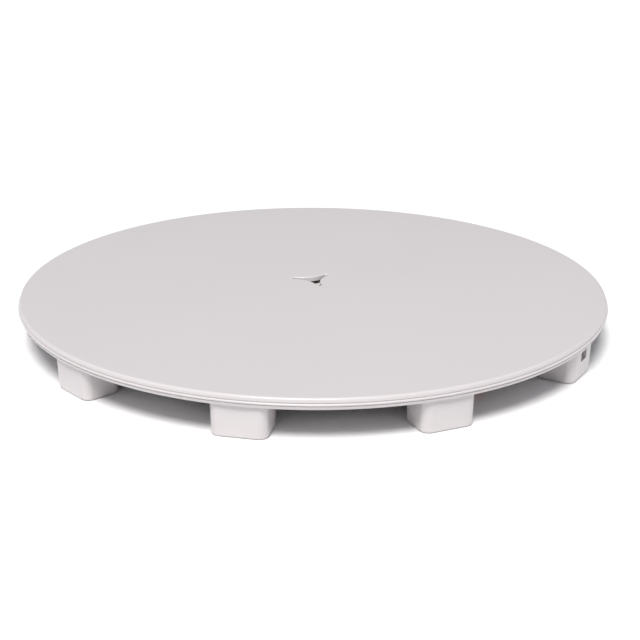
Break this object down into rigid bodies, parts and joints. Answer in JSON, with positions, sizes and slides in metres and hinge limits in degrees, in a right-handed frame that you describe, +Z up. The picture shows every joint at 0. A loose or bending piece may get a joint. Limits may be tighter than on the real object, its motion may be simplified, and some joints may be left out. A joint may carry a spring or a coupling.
{
  "type": "ice fishing tip-up",
  "caption": "Round white hole cover on short block feet, with a star opening for its trip head, a flat line reel and a folding flag stowed underneath.",
  "frame": {"origin": "on the ground, at the middle of the outline's box; the disc's own axis is 4.3 mm towards -Y of it, because the flag hinge stands out behind the rim", "axes": "+Z up, +Y towards the flag hinge, +X to the right of the flag arm"},
  "size_m": [0.254, 0.2626, 0.0197],
  "materials": {
    "gloss_white": "glossy moulded",
    "foam": "closed-cell foam",
    "black_plastic": "fine matt texture",
    "orange_plastic": "satin moulded",
    "steel": "zinc plated",
    "spring_steel": "rolled strip",
    "brass": "turned",
    "braided_line": "braided",
    "flag_cloth": "ripstop weave"
  },
  "bodies": {
    "lid": {"top_cover": "gloss_white", "base_ring": "gloss_white", "insulation_disc": "foam", "chassis_plate": "black_plastic", "cover_screw_1": "steel", "cover_screw_2": "steel", "cover_screw_3": "steel", "cover_screw_4": "steel", "cover_screw_5": "steel", "bracket_screw_left": "steel", "bracket_screw_right": "steel", "guide_screw": "steel", "spindle_bushing": "brass", "line_guide": "black_plastic", "guide_eyelet": "steel", "flag_bracket": "black_plastic", "flag_pivot_screw": "steel", "flag_pivot_nut": "steel"},
    "reel": {"drive_sleeve": "steel", "reel_spool": "orange_plastic", "line_winding": "braided_line", "drag_washer": "steel"},
    "drag_nut": {"drag_nut": "black_plastic"},
    "trip_spindle": {"trip_spindle": "gloss_white"},
    "flag": {"flag_arm": "spring_steel", "flag_cloth": "flag_cloth", "flag_clip_1": "black_plastic", "flag_clip_2": "black_plastic"}
  },
  "joints": [
    {"name": "reel_spin", "type": "hinge", "parent": "lid", "child": "reel", "pos_m": [0, -0.0043, 0.0075], "axis": [0, 0, 1], "continuous": true},
    {"name": "drag_turn", "type": "hinge", "parent": "reel", "child": "drag_nut", "pos_m": [0, -0.0043, 0.0057], "axis": [0, 0, 1], "continuous": true},
    {"name": "trip_slide", "type": "slide", "parent": "reel", "child": "trip_spindle", "axis": [0, 0, 1], "range_m": [0, 0.0053]},
    {"name": "flag_fold", "type": "hinge", "parent": "lid", "child": "flag", "pos_m": [0, 0.1277, 0.0057], "axis": [1, 0, 0], "range_deg": [0, 270]}
  ]
}
